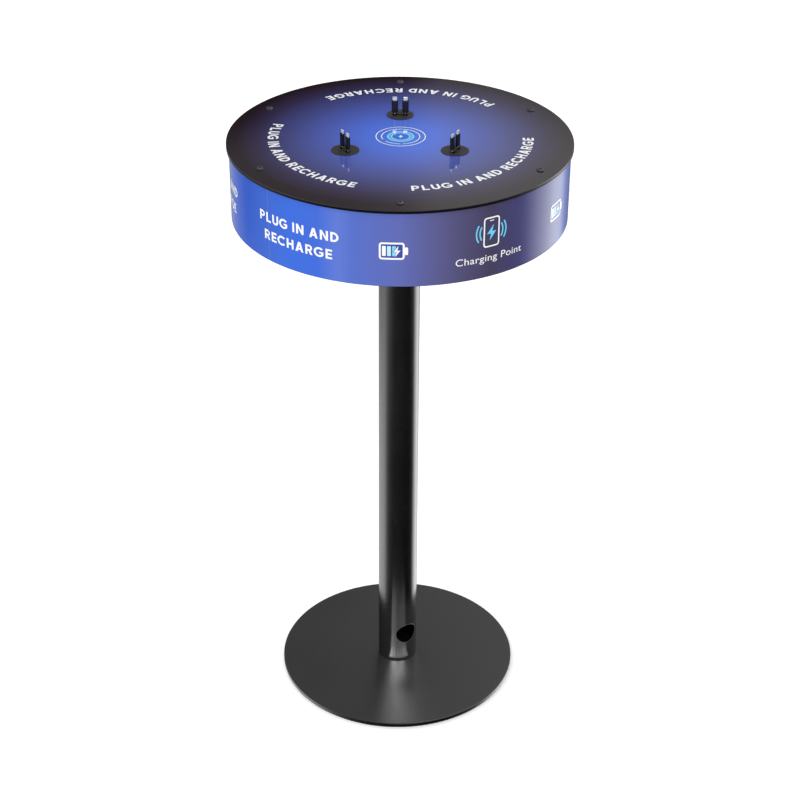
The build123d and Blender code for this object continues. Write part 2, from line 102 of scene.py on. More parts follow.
class Paint:
    """A material with its Principled shader, and short calls for the nodes that feed it."""

    def __init__(self, name, color, roughness, metallic=0.0, ior=1.5, coat=0.0):
        self.material = bpy.data.materials.new(name)
        self.material.use_nodes = True
        self.tree = self.material.node_tree
        self.shader = self.tree.nodes["Principled BSDF"]
        self.set("Base Color", (*color, 1.0))
        self.set("Roughness", roughness)
        self.set("Metallic", metallic)
        self.set("IOR", ior)
        self.set("Coat Weight", coat)
        self.where = self.node("ShaderNodeTexCoord").outputs["Object"]

    def set(self, name, value):
        """A socket of the shader takes a number, a colour or another node's output."""
        self.put(self.shader.inputs[name], value)

    def put(self, socket, value):
        if isinstance(value, bpy.types.NodeSocket):
            self.tree.links.new(value, socket)
        else:
            socket.default_value = value

    def node(self, kind, *inputs, **settings):
        made = self.tree.nodes.new(kind)
        for name, value in settings.items():
            setattr(made, name, value)
        for socket, value in zip(made.inputs, inputs):
            if value is not None:
                self.put(socket, value)
        return made

    def math(self, operation, *values):
        return self.node("ShaderNodeMath", *values, operation=operation).outputs[0]

    def noise(self, scale, detail=3.0, where=None):
        made = self.node("ShaderNodeTexNoise")
        self.put(made.inputs["Vector"], where or self.where)
        made.inputs["Scale"].default_value = scale
        made.inputs["Detail"].default_value = detail
        return made.outputs["Fac"]

    def ramp(self, factor, stops):
        """Colours or grey levels by place along 0 to 1."""
        made = self.node("ShaderNodeValToRGB", factor)
        band = made.color_ramp
        while len(band.elements) < len(stops):
            band.elements.new(0.5)
        for element, (place, color) in zip(band.elements, stops):
            element.position = place
            grey = not hasattr(color, "__len__")
            element.color = (color, color, color, 1.0) if grey else (*color, 1.0)
        return made.outputs["Color"]

    def mix(self, factor, first, second):
        made = self.node("ShaderNodeMix", data_type="RGBA")
        colors = [socket for socket in made.inputs if socket.type == "RGBA"]
        self.put(made.inputs["Factor"], factor)
        for socket, color in zip(colors, (first, second)):
            self.put(socket, color if isinstance(color, bpy.types.NodeSocket) else (*color, 1.0))
        return [socket for socket in made.outputs if socket.type == "RGBA"][0]

    def bump(self, height, strength, distance):
        made = self.node("ShaderNodeBump")
        made.inputs["Strength"].default_value = strength
        made.inputs["Distance"].default_value = distance
        self.put(made.inputs["Height"], height)
        self.set("Normal", made.outputs["Normal"])

    def flat_radius(self, centre=(0.0, 0.0)):
        """Distance from an upright line through centre."""
        x, y, _ = self.xyz()
        away_x = self.math("SUBTRACT", x, centre[0])
        away_y = self.math("SUBTRACT", y, centre[1])
        return self.math("SQRT", self.math("ADD", self.math("MULTIPLY", away_x, away_x),
                                           self.math("MULTIPLY", away_y, away_y)))

    def turn(self):
        """Angle about the pole from the back (+Y), as 0 to 1, through +X at a quarter."""
        x, y, _ = self.xyz()
        angle = self.math("ARCTAN2", x, y)
        return self.math("FRACT", self.math("ADD", self.math("DIVIDE", angle, 2 * pi), 1.0))

    def xyz(self):
        split = self.node("ShaderNodeSeparateXYZ", self.where)
        return split.outputs["X"], split.outputs["Y"], split.outputs["Z"]

    def facing_up(self):
        """1 where the surface is level, 0 where it is upright."""
        normal = self.node("ShaderNodeNewGeometry").outputs["Normal"]
        up = self.node("ShaderNodeSeparateXYZ", normal).outputs["Z"]
        return self.math("GREATER_THAN", self.math("ABSOLUTE", up), 0.5)

    def vary_roughness(self, factor, low, high):
        made = self.node("ShaderNodeMapRange", factor, 0.25, 0.75, low, high)
        self.set("Roughness", made.outputs["Result"])


# Materials ------------------------------------------------------------------------------

def powder_coat(name, color, roughness, grain, depth, speckle, ior=1.5, side=1.0, bore=0.0):
    """Powder coat: fine orange peel and grains that are a little lighter than the rest.
    Upright sides are darker by a factor, which is painted shade, and within the bore's radius nothing
    shines."""
    paint = Paint(name, color, roughness, ior=ior)
    peel = paint.noise(grain, 2.0)
    lighter = [min(1.0, channel * speckle) for channel in color]
    flecks = paint.ramp(paint.noise(grain * 1.7, 1.0), ((0.45, 0.0), (0.72, 1.0)))
    cloud = paint.noise(9.0, 3.0)
    base = paint.mix(flecks, color, lighter)
    worn = [channel * 1.25 for channel in color]
    coat = paint.mix(paint.math("MULTIPLY", cloud, 0.35), base, worn)
    # painted shade: upright faces take the colour times the side factor, darker than the level ones
    edge = [channel * side for channel in color]
    paint.set("Base Color", paint.mix(paint.facing_up(), edge, coat) if side < 1.0 else coat)
    paint.vary_roughness(cloud, roughness * 0.88, roughness * 1.12)
    paint.bump(peel, 0.5, depth)
    if bore:
        outside = paint.math("GREATER_THAN", paint.flat_radius(), bore)
        paint.set("Specular IOR Level", paint.math("MULTIPLY", outside, 0.5))
    return paint.material


def moulded(name, color, roughness, grain=2200.0, depth=0.03 * MM, ior=1.5):
    """Moulded plastic or rubber with a fine spark-eroded texture."""
    paint = Paint(name, color, roughness, ior=ior)
    cloud = paint.noise(60.0, 3.0)
    lighter = [channel * 1.5 for channel in color]
    paint.set("Base Color", paint.mix(paint.math("MULTIPLY", cloud, 0.4), color, lighter))
    paint.vary_roughness(cloud, roughness * 0.85, roughness * 1.15)
    paint.bump(paint.noise(grain, 2.0), 0.4, depth)
    return paint.material


def metal(name, color, roughness, stretch=(1.0, 1.0, 40.0), grain=700.0, metallic=1.0):
    """Bare metal with fine drawn lines across the stretched axis and faint tarnish."""
    paint = Paint(name, color, roughness, metallic=metallic)
    mapping = paint.node("ShaderNodeMapping")
    paint.put(mapping.inputs["Vector"], paint.where)
    mapping.inputs["Scale"].default_value = stretch
    lines = paint.noise(grain, 2.0, mapping.outputs["Vector"])
    darker = [channel * 0.8 for channel in color]
    tarnish = paint.math("MULTIPLY", paint.noise(90.0, 3.0), 0.5)
    paint.set("Base Color", paint.mix(tarnish, color, darker))
    paint.vary_roughness(lines, roughness * 0.75, roughness * 1.3)
    paint.bump(lines, 0.15, 0.01 * MM)
    return paint.material


def printed_sheet():
    """The clear top sheet: a print that fades from blue to near black, and its upright cut edge
    painted near black as shade.
    """
    paint = Paint("printed_sheet", (0.05, 0.09, 0.4), 0.045, ior=1.5)
    share = paint.math("DIVIDE", paint.flat_radius(PRINT_CENTRE), PANEL_R)
    fade = paint.ramp(share, (
        (0.00, (0.045, 0.160, 0.700)),
        (0.20, (0.063, 0.147, 0.660)),
        (0.43, (0.063, 0.095, 0.396)),
        (0.62, (0.048, 0.058, 0.210)),
        (0.82, (0.026, 0.018, 0.057)),
        (0.95, (0.011, 0.004, 0.005)),
    ))
    cloud = paint.noise(7.0, 2.0)
    soft = paint.mix(paint.math("MULTIPLY", cloud, 0.08), fade, (0.03, 0.03, 0.10))
    # painted shade: the upright cut edge is near black, and the level top carries the print
    paint.set("Base Color", paint.mix(paint.facing_up(), (0.03, 0.03, 0.035), soft))
    paint.vary_roughness(paint.noise(30.0, 4.0), 0.035, 0.06)
    paint.bump(paint.noise(14.0, 2.0), 0.05, 0.2 * MM)
    return paint.material


def around(angle):
    """A drum angle, from the front towards +X, as the shader's turn from 0 to 1."""
    return ((180.0 - angle) / 360.0) % 1.0


def printed_film():
    """The film round the drum: blue behind the words, near black behind the emblems, and a pale band
    at the front left that is a painted reflection.
    """
    paint = Paint("printed_film", (0.03, 0.1, 0.5), 0.13, ior=1.5)
    bright = (0.020, 0.102, 0.550)
    blue = (0.010, 0.080, 0.510)
    vivid = (0.022, 0.122, 0.650)
    azure = (0.042, 0.132, 0.640)
    # pale and lilac are painted reflection: the glare of a light strip, laid at -20 and -15 degrees
    # below
    pale = (0.106, 0.180, 0.610)
    lilac = (0.090, 0.150, 0.540)
    violet = (0.113, 0.139, 0.420)
    mauve = (0.100, 0.099, 0.248)
    plum = (0.083, 0.073, 0.157)
    dark = (0.058, 0.047, 0.085)
    ink_blue = (0.047, 0.042, 0.156)
    slate = (0.090, 0.105, 0.280)
    turns = (
        (-98, bright), (-74, bright), (-60, blue), (-48, bright), (-38, vivid), (-27, azure),
        # the pale and lilac stops here are a painted reflection of a light strip at the front left
        (-20, pale), (-15, lilac), (0, violet), (12, mauve), (20, plum), (30, dark),
        (45, ink_blue), (62, slate), (74, bright), (95.6, bright), (112, vivid), (128, violet),
        (144, plum), (161, dark), (172, plum), (193, violet), (212, vivid), (226.6, bright),
    )
    stops = [(0.0, mauve), *sorted((around(angle), color) for angle, color in turns), (1.0, mauve)]
    fade = paint.ramp(paint.turn(), stops)
    cloud = paint.math("MULTIPLY", paint.noise(5.0, 2.0), 0.10)
    paint.set("Base Color", paint.mix(cloud, fade, (0.04, 0.09, 0.38)))
    paint.vary_roughness(paint.noise(22.0, 3.0), 0.11, 0.16)
    paint.bump(paint.noise(16.0, 1.0), 0.06, 0.3 * MM)
    return paint.material


def ink(name, color, roughness):
    """Printing ink with the faint unevenness of a laid-down layer."""
    paint = Paint(name, color, roughness, ior=1.5)
    cloud = paint.math("MULTIPLY", paint.noise(300.0, 3.0), 0.12)
    duller = [channel * 0.85 for channel in color]
    paint.set("Base Color", paint.mix(cloud, color, duller))
    paint.vary_roughness(paint.noise(120.0, 2.0), roughness * 0.8, roughness * 1.2)
    return paint.material


def circuit_board():
    """Green solder mask with paler tracks under it."""
    paint = Paint("circuit_board", (0.01, 0.12, 0.04), 0.3)
    tracks = paint.node("ShaderNodeTexWave", wave_type="BANDS", bands_direction="DIAGONAL")
    paint.put(tracks.inputs["Vector"], paint.where)
    tracks.inputs["Scale"].default_value = 60.0
    tracks.inputs["Distortion"].default_value = 6.0
    lines = paint.ramp(tracks.outputs["Fac"], ((0.55, 0.0), (0.6, 1.0)))
    paint.set("Base Color", paint.mix(lines, (0.008, 0.09, 0.03), (0.02, 0.2, 0.07)))
    paint.bump(lines, 0.2, 0.03 * MM)
    return paint.material


def winding(name, color):
    """Copper wire laid in turns about the pole's axis."""
    paint = Paint(name, color, 0.3, metallic=1.0)
    wire = paint.math("FRACT", paint.math("DIVIDE", paint.flat_radius(), 1.0 * MM))
    paint.set("Base Color", paint.mix(paint.ramp(wire, ((0.0, 0.0), (0.3, 1.0))),
                                      (0.12, 0.05, 0.02), color))
    paint.bump(wire, 0.6, 0.2 * MM)
    return paint.material


materials = {
    # the base's upright edge is painted shade at 0.15 of its colour
    "base": powder_coat("textured_powder_coat", (0.008, 0.0065, 0.008), 0.33, 900.0, 0.14 * MM,
                        2.2, ior=2.3, side=0.15),
    "pole": powder_coat("satin_powder_coat", (0.001, 0.001, 0.001), 0.21, 500.0, 0.01 * MM,
                        1.5, ior=2.4, bore=POLE_R - INSIDE_WALL),
    "drum_metal": powder_coat("drum_powder_coat", (0.010, 0.010, 0.011), 0.35, 600.0, 0.06 * MM, 1.6),
    "pad": moulded("pad_rubber", (0.02, 0.02, 0.02), 0.85, 900.0, 0.15 * MM),
    "panel_board": moulded("black_board", (0.003, 0.003, 0.003), 0.35, 1400.0, 0.05 * MM, 1.3),
    "station_plastic": moulded("station_plastic", (0.030, 0.028, 0.026), 0.38, 1800.0, 0.05 * MM),
    "plug_plastic": moulded("plug_plastic", (0.004, 0.004, 0.004), 0.34, ior=1.42),
    "case_plastic": moulded("case_plastic", (0.016, 0.016, 0.017), 0.5),
    "lead_sheath": moulded("lead_sheath", (0.014, 0.014, 0.014), 0.55, 3000.0),
    "ferrite": moulded("ferrite", (0.045, 0.042, 0.038), 0.7, 1200.0, 0.06 * MM),
    "zinc": metal("zinc_plate", (0.60, 0.60, 0.56), 0.32),
    "steel": metal("plain_steel", (0.40, 0.40, 0.41), 0.4),
    "screw_steel": metal("screw_steel", (0.24, 0.23, 0.25), 0.5, (1.0, 1.0, 1.0), 1500.0),
    "plug_metal": metal("plug_metal", (0.93, 0.94, 0.95), 0.3, (1.0, 1.0, 30.0), 1500.0, 0.45),
    "case_metal": metal("case_aluminium", (0.62, 0.63, 0.65), 0.38, (30.0, 1.0, 1.0)),
    "brass": metal("brass", (0.72, 0.50, 0.20), 0.3),
    "copper": winding("copper_winding", (0.72, 0.32, 0.16)),
    "circuit_board": circuit_board(),
    "printed_sheet": printed_sheet(),
    "printed_film": printed_film(),
}
INK_WHITE = ink("ink_white", (0.88, 0.88, 0.88), 0.1)
INK_CYAN = ink("ink_cyan", (0.16, 0.60, 0.86), 0.1)
INK_PALE_CYAN = ink("ink_pale_cyan", (0.50, 0.78, 0.90), 0.1)
INK_BAR_CYAN = ink("ink_bar_cyan", (0.24, 0.62, 0.80), 0.1)
INK_FIELD = ink("ink_field_blue", (0.05, 0.075, 0.33), 0.1)
INK_SEAM = ink("ink_seam", (0.12, 0.22, 0.70), 0.1)
INK_DEEP_BLUE = ink("ink_deep_blue", (0.020, 0.140, 0.62), 0.08)


def dress_cad_nodes():
    """Each CAD node takes the material of its slot in the record."""
    for part in frame["record"]["subparts"]:
        mesh = nodes[part["node"]].data
        mesh.materials.clear()
        mesh.materials.append(materials[part["material_slot"]])


# Pieces ---------------------------------------------------------------------------------

def add_piece(name, mesh, material, body="kiosk"):
    """A mesh that is already in its place becomes a piece that rides on a body."""
    mesh.materials.clear()
    mesh.materials.append(material)
    piece = bpy.data.objects.new(name, mesh)
    bpy.context.scene.collection.objects.link(piece)
    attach(piece, body)
    return piece


def join_meshes(meshes):
    joined = bmesh.new()
    for mesh in meshes:
        joined.from_mesh(mesh)
    whole = bpy.data.meshes.new("joined")
    joined.to_mesh(whole)
    joined.free()
    return whole


def as_mesh(curve):
    """The mesh of a curve or text, with its fill and thickness."""
    carrier = bpy.data.objects.new("carrier", curve)
    bpy.context.scene.collection.objects.link(carrier)
    shown = carrier.evaluated_get(bpy.context.evaluated_depsgraph_get())
    mesh = bpy.data.meshes.new_from_object(shown)
    bpy.data.objects.remove(carrier)
    merged = bmesh.new()
    merged.from_mesh(mesh)
    bmesh.ops.remove_doubles(merged, verts=merged.verts, dist=MERGE)
    merged.to_mesh(mesh)
    merged.free()
    return mesh


# Flat outlines: points in metres, x to the right and y up

def arc_points(centre, radius, start, end):
    steps = max(2, ceil(abs(end - start) / 6.0))
    angles = [radians(start + (end - start) * step / steps) for step in range(steps + 1)]
    return [(centre[0] + radius * cos(a), centre[1] + radius * sin(a)) for a in angles]


def circle(radius, centre=(0.0, 0.0)):
    return arc_points(centre, radius, 0.0, 360.0)[:-1]


def arc_band(inner, outer, start, end):
    return arc_points((0, 0), outer, start, end) + arc_points((0, 0), inner, end, start)


def rounded_box(width, height, radius, centre=(0.0, 0.0)):
    reach_x = width / 2 - radius
    reach_y = height / 2 - radius
    points = []
    for sign_x, sign_y, start in ((1, 1, 0), (-1, 1, 90), (-1, -1, 180), (1, -1, 270)):
        corner = (centre[0] + sign_x * reach_x, centre[1] + sign_y * reach_y)
        points += arc_points(corner, radius, start, start + 90)
    return points


def bolt(height, centre=(0.0, 0.0)):
    half = ((0.13, 0.50), (-0.30, -0.07), (-0.03, -0.07))
    outline = half + tuple((-x, -y) for x, y in half)
    return [(centre[0] + x * height, centre[1] + y * height) for x, y in outline]


def filled(*loops):
    """A thin flat solid bounded by closed outlines; an outline inside another is a hole."""
    curve = bpy.data.curves.new("outline", "CURVE")
    curve.dimensions = "2D"
    curve.fill_mode = "BOTH"
    curve.extrude = INK / 2
    for loop in loops:
        spline = curve.splines.new("POLY")
        spline.points.add(len(loop) - 1)
        for point, (x, y) in zip(spline.points, loop):
            point.co = (x, y, 0.0, 1.0)
        spline.use_cyclic_u = True
    return as_mesh(curve)


def fitted(mesh, width, height):
    """Centred on x, from y = 0 up to the height."""
    xs = [vertex.co.x for vertex in mesh.vertices]
    ys = [vertex.co.y for vertex in mesh.vertices]
    middle = (min(xs) + max(xs)) / 2
    scale_x = width / (max(xs) - min(xs))
    scale_y = height / (max(ys) - min(ys))
    for vertex in mesh.vertices:
        vertex.co.x = (vertex.co.x - middle) * scale_x
        vertex.co.y = (vertex.co.y - min(ys)) * scale_y
    return mesh


def plain_lettering(words, width, height):
    """Words in a light round typeface."""
    curve = bpy.data.curves.new("words", "FONT")
    curve.body = words
    curve.size = height * 1.4
    curve.space_character = 1.04
    curve.extrude = INK / 2
    return fitted(as_mesh(curve), width, height)


# Bold capitals, one unit high, with strokes of one fifth
BAR = 0.2


def bowl(x, y, outer, reach=(-90, 90)):
    """The round right side of a D, P or R and of the hole in it."""
    return arc_points((x, y), outer, *reach)


CAPITALS = {
    "A": (((0, 0), (0.22, 0), (0.28, 0.2), (0.54, 0.2), (0.60, 0), (0.82, 0), (0.53, 1), (0.29, 1)),
          ((0.34, 0.38), (0.48, 0.38), (0.41, 0.70))),
    "C": (arc_points((0.42, 0.5), 0.5, 42, 318) + arc_points((0.42, 0.5), 0.3, 318, 42),),
    "D": (((0, 0), *bowl(0.24, 0.5, 0.5), (0, 1)),
          ((BAR, BAR), *bowl(0.24, 0.5, 0.3), (BAR, 1 - BAR))),
    "E": (((0, 0), (0.6, 0), (0.6, BAR), (BAR, BAR), (BAR, 0.4), (0.55, 0.4), (0.55, 0.6),
           (BAR, 0.6), (BAR, 1 - BAR), (0.6, 1 - BAR), (0.6, 1), (0, 1)),),
    "G": (arc_points((0.42, 0.5), 0.5, 42, 325) +
          [(0.83, 0.55), (0.43, 0.55), (0.43, 0.38), (0.632, 0.38)] +
          arc_points((0.42, 0.5), 0.3, 315, 42),),
    "H": (((0, 0), (BAR, 0), (BAR, 0.4), (0.54, 0.4), (0.54, 0), (0.74, 0), (0.74, 1), (0.54, 1),
           (0.54, 0.6), (BAR, 0.6), (BAR, 1), (0, 1)),),
    "I": (((0, 0), (BAR, 0), (BAR, 1), (0, 1)),),
    "L": (((0, 0), (0.58, 0), (0.58, BAR), (BAR, BAR), (BAR, 1), (0, 1)),),
    "N": (((0, 0), (BAR, 0), (BAR, 0.64), (0.56, 0), (0.76, 0), (0.76, 1), (0.56, 1),
           (0.56, 0.36), (BAR, 1), (0, 1)),),
    "P": (((0, 0), (BAR, 0), (BAR, 0.37), *bowl(0.35, 0.685, 0.315), (0, 1)),
          ((BAR, 0.55), *bowl(0.35, 0.685, 0.135), (BAR, 0.82))),
    "R": (((0, 0), (BAR, 0), (BAR, 0.37), (0.31, 0.37), (0.46, 0), (0.70, 0), (0.52, 0.42),
           *bowl(0.35, 0.685, 0.315, (-52, 90)), (0, 1)),
          ((BAR, 0.55), *bowl(0.35, 0.685, 0.135), (BAR, 0.82))),
    "U": (((0, 1), *arc_points((0.36, 0.36), 0.36, 180, 360), (0.72, 1), (0.52, 1),
           *arc_points((0.36, 0.36), 0.16, 360, 180), (BAR, 1)),),
}
WORD_SPACE = 0.36


def bold_lettering(words, width, height, gap):
    """Words in bold capitals, with a gap between letters as a share of their height."""
    loops = []
    start = 0.0
    for letter in words:
        if letter == " ":
            start += WORD_SPACE
            continue
        outlines = CAPITALS[letter]
        loops += [[((start + x) * height, y * height) for x, y in outline] for outline in outlines]
        start += max(x for x, _ in outlines[0]) + gap
    return fitted(filled(*loops), width, height)


# Laying the flat outlines on the object

def sliced(mesh, step=SLICE):
    """Cut by upright planes, close enough for a flat shape to follow a curve."""
    cut = bmesh.new()
    cut.from_mesh(mesh)
    xs = [vertex.co.x for vertex in cut.verts]
    for place in range(ceil(min(xs) / step), ceil(max(xs) / step)):
        bmesh.ops.bisect_plane(cut, geom=cut.verts[:] + cut.edges[:] + cut.faces[:],
                               plane_co=(place * step, 0, 0), plane_no=(1, 0, 0), dist=MERGE)
    cut.to_mesh(mesh)
    cut.free()
    return mesh


def lay_on_arc(mesh, angle, radius):
    """On the top panel, feet outwards on a circle about the print's centre."""
    for vertex in sliced(mesh).vertices:
        x, y, z = vertex.co
        turn = radians(angle) + x / radius
        reach = radius - y
        vertex.co = (PRINT_CENTRE.x + reach * cos(turn), PRINT_CENTRE.y + reach * sin(turn),
                     PANEL_TOP + LIFT + z)
    return mesh


def lay_on_top(mesh, layer=0):
    """On the top panel, about the print's centre."""
    shift = Vector((PRINT_CENTRE.x, PRINT_CENTRE.y, PANEL_TOP + LIFT + layer * INK))
    for vertex in mesh.vertices:
        vertex.co += shift
    return mesh


def wrap_on_drum(mesh, angle, height, layer=0):
    """Round the drum, x = 0 at the angle and y = 0 at the height."""
    for vertex in sliced(mesh).vertices:
        x, y, z = vertex.co
        turn = radians(angle) + x / DRUM_R
        reach = DRUM_R + LIFT + layer * INK + z
        vertex.co = (reach * sin(turn), -reach * cos(turn), height + y)
    return mesh


# Prints on the top ----------------------------------------------------------------------

def top_words():
    for number, angle in enumerate(TOP_TEXT_ANGLES, 1):
        width = radians(TOP_TEXT_SPAN) * TOP_TEXT_R
        words = bold_lettering(TOP_TEXT, width, TOP_TEXT_CAP, 0.22)
        add_piece(f"top_words_{number}", lay_on_arc(words, angle, TOP_TEXT_R), INK_WHITE)


def charging_mark():
    """Rings round a bolt, over the wireless coil."""
    white = [filled(circle(44.3 * MM), circle(42.6 * MM)),
             filled(arc_band(33.0 * MM, 34.5 * MM, -84, 204)),
             filled(arc_band(33.0 * MM, 34.5 * MM, 220, 269)),
             filled(bolt(15.0 * MM))]
    cyan = [filled(circle(24.3 * MM), circle(20.6 * MM)),
            filled(circle(19.6 * MM), circle(18.2 * MM))]
    pale = [filled(circle(16.8 * MM), circle(15.2 * MM))]
    deep = [filled(circle(15.2 * MM))]
    parts = (("mark_disc", deep, INK_DEEP_BLUE, 0), ("mark_cyan_rings", cyan, INK_CYAN, 0),
             ("mark_pale_ring", pale, INK_PALE_CYAN, 0), ("mark_white", white, INK_WHITE, 1))
    for name, meshes, material, layer in parts:
        add_piece(name, lay_on_top(join_meshes(meshes), layer), material)


# Prints on the drum ---------------------------------------------------------------------

def drum_words():
    for number, angle in enumerate(DRUM_TEXT_ANGLES, 1):
        lines = []
        for words, middle, span in DRUM_TEXT_LINES:
            line = bold_lettering(words, radians(span) * DRUM_R, DRUM_TEXT_CAP, 0.2)
            lines.append(wrap_on_drum(line, angle, middle - DRUM_TEXT_CAP / 2))
        add_piece(f"drum_words_{number}", join_meshes(lines), INK_WHITE)


def battery_mark(number, angle):
    """A battery outline with three bars and a bolt."""
    width, height, stroke = 42.5 * MM, 31.0 * MM, 3.3 * MM
    nub_x = width / 2 + 2.6 * MM
    bars = [rounded_box(6.2 * MM, 18.0 * MM, 0.6 * MM, (x * MM, 0)) for x in (-12.9, -4.5, 3.8)]
    inside = rounded_box(width - 2 * stroke, height - 2 * stroke, 2.0 * MM)
    shell = filled(rounded_box(width, height, 5.2 * MM), inside)
    nub = filled(rounded_box(6.0 * MM, 14.0 * MM, 2.4 * MM, (nub_x, 0)))
    flash = (8.6 * MM, 0)
    parts = (("field", [filled(inside)], INK_FIELD, 0),
             ("outline", [shell, nub], INK_WHITE, 1),
             ("first_bar", [filled(bars[0])], INK_WHITE, 1),
             ("second_bar", [filled(bars[1])], INK_PALE_CYAN, 1),
             ("third_bar", [filled(bars[2])], INK_BAR_CYAN, 1),
             ("bolt_edge", [filled(bolt(24.5 * MM, flash))], INK_FIELD, 2),
             ("bolt", [filled(bolt(19.5 * MM, flash))], INK_WHITE, 3))
    for name, meshes, material, layer in parts:
        mesh = wrap_on_drum(join_meshes(meshes), angle, BATTERY_Z, layer)
        add_piece(f"battery_{number}_{name}", mesh, material)


def film_seam():
    """Where the two ends of the printed film meet."""
    height = DRUM_HIGH - DRUM_LOW - 1.0 * MM
    line = wrap_on_drum(filled(rounded_box(0.8 * MM, height, 0.2 * MM)), SEAM_ANGLE,
                        (DRUM_HIGH + DRUM_LOW) / 2)
    add_piece("film_seam", line, INK_SEAM)


def phone_mark(number, angle):
    """A phone outline with a bolt, waves at both sides and two plain words below."""
    frame_outline = filled(rounded_box(31.0 * MM, 54.0 * MM, 5.5 * MM),
                           rounded_box(26.0 * MM, 49.0 * MM, 3.4 * MM))
    slit = filled(rounded_box(8.0 * MM, 1.4 * MM, 0.6 * MM, (0, 20.5 * MM)))
    waves = [filled(arc_band(inner, inner + 2.6 * MM, middle - 32, middle + 32))
             for inner in (21.0 * MM, 27.5 * MM) for middle in (0, 180)]
    caption = plain_lettering("Charging Point", radians(CAPTION_SPAN) * DRUM_R, CAPTION_HEIGHT)
    parts = (("phone", [frame_outline, slit], INK_WHITE),
             ("waves", waves + [filled(bolt(29.0 * MM, (0, -1.0 * MM)))], INK_CYAN))
    for name, meshes, material in parts:
        mesh = wrap_on_drum(join_meshes(meshes), angle, EMBLEM_Z)
        add_piece(f"emblem_{number}_{name}", mesh, material)
    add_piece(f"emblem_{number}_words",
              wrap_on_drum(caption, angle, CAPTION_Z - CAPTION_HEIGHT / 2), INK_WHITE)


def drum_prints():
    drum_words()
    film_seam()
    for number, angle in enumerate(BATTERY_ANGLES, 1):
        battery_mark(number, angle)
    for number, angle in enumerate(EMBLEM_ANGLES, 1):
        phone_mark(number, angle)


# Metalwork ------------------------------------------------------------------------------

def outlet_rim():
    """The bare edge of the pole's cable outlet, where the cutter broke the coat."""
    rows = []
    for step in range(RIM_STEPS):
        turn = 2 * pi * step / RIM_STEPS
        for radius, depth in ((OUTLET_R, RIM_SUNK), (OUTLET_R, -RIM_PROUD),
                              (OUTLET_R + RIM_WIDTH, -RIM_PROUD), (OUTLET_R + RIM_WIDTH, RIM_SUNK)):
            side = radius * cos(turn)
            out = sqrt((POLE_R - depth) ** 2 - side ** 2)
            rows.append(Matrix.Rotation(radians(OUTLET_ANGLE), 3, "Z") @
                        Vector((out, side, OUTLET_Z + radius * sin(turn))))
    faces = []
    for step in range(RIM_STEPS):
        after = (step + 1) % RIM_STEPS
        for edge in range(4):
            beside = (edge + 1) % 4
            faces.append((4 * step + edge, 4 * step + beside, 4 * after + beside, 4 * after + edge))
    mesh = bpy.data.meshes.new("outlet_rim")
    mesh.from_pydata(rows, [], faces)
    mesh.shade_smooth()
    add_piece("outlet_rim", mesh, materials["steel"])


# Camera, floor and light ----------------------------------------------------------------

def add_camera():
    """In front of the kiosk, 3 m off and 2.4 m high, looking 30 degrees down."""
    data = bpy.data.cameras.new("camera")
    data.lens = LENS
    data.sensor_width = SENSOR
    camera = bpy.data.objects.new("camera", data)
    turn = Matrix.Rotation(radians(CAMERA_YAW), 4, "Z")
    tip = Matrix.Rotation(radians(90.0 - CAMERA_DOWN), 4, "X")
    roll = Matrix.Rotation(radians(CAMERA_ROLL), 4, "Z")
    camera.matrix_world = Matrix.Translation(CAMERA_PLACE) @ turn @ tip @ roll
    bpy.context.scene.collection.objects.link(camera)
    bpy.context.scene.camera = camera


def add_floor():
    """A pale floor. Gloss on the kiosk reflects the studio round it, and not the floor."""
    reach = FLOOR_REACH
    mesh = bpy.data.meshes.new("floor")
    corners = [(-reach, -reach, 0), (reach, -reach, 0), (reach, reach, 0), (-reach, reach, 0)]
    mesh.from_pydata(corners, [], [(0, 1, 2, 3)])
    paint = Paint("pale_floor", (0.96, 0.96, 0.96), 0.7)
    paint.set("Emission Color", (1.0, 1.0, 1.0, 1.0))
    paint.set("Emission Strength", FLOOR_GLOW)
    mesh.materials.append(paint.material)
    floor = bpy.data.objects.new("floor", mesh)
    floor.visible_glossy = False
    bpy.context.scene.collection.objects.link(floor)


def add_softbox(name, angle, elevation, size, brightness, lit):
    """A tall light that faces the pole's foot. It reaches only the gloss of what is in lit,
    because it would make the top and the base white from behind."""
    reach = SOFTBOX_DISTANCE * cos(radians(elevation))
    place = Vector((reach * sin(radians(angle)), -reach * cos(radians(angle)),
                    SOFTBOX_DISTANCE * sin(radians(elevation))))
    data = bpy.data.lights.new(name, "AREA")
    data.shape = "RECTANGLE"
    data.size, data.size_y = size
    data.energy = brightness * pi * size[0] * size[1]
    light = bpy.data.objects.new(name, data)
    light.location = place
    light.rotation_euler = (-place).to_track_quat("-Z", "Y").to_euler()
    light.visible_diffuse = False
    light.light_linking.receiver_collection = lit
    bpy.context.scene.collection.objects.link(light)


def add_foot_glow():
    """Unseen strips of light that lie on the base in front of the pole, for the pole's gloss
    only. They stand in for the glow of the base that the photo shows in the pole's foot."""
    foot = bpy.data.collections.new("lit_by_foot_glow")
    foot.objects.link(nodes["pole_tube"])
    for (angle, brightness), (start, end, width, share) in product(FOOT_GLOW, GLOW_STRIPS):
        turn = radians(angle)
        data = bpy.data.lights.new("foot_glow", "AREA")
        data.shape = "RECTANGLE"
        data.size, data.size_y = width, end - start
        data.energy = share * brightness * pi * data.size * data.size_y
        strip = bpy.data.objects.new("foot_glow", data)
        middle = (start + end) / 2
        strip.location = (middle * sin(turn), -middle * cos(turn), BASE_TOP + GLOW_HEIGHT)
        strip.rotation_euler = (pi, 0.0, turn)
        strip.visible_camera = False
        strip.visible_diffuse = False
        strip.light_linking.receiver_collection = foot
        bpy.context.scene.collection.objects.link(strip)


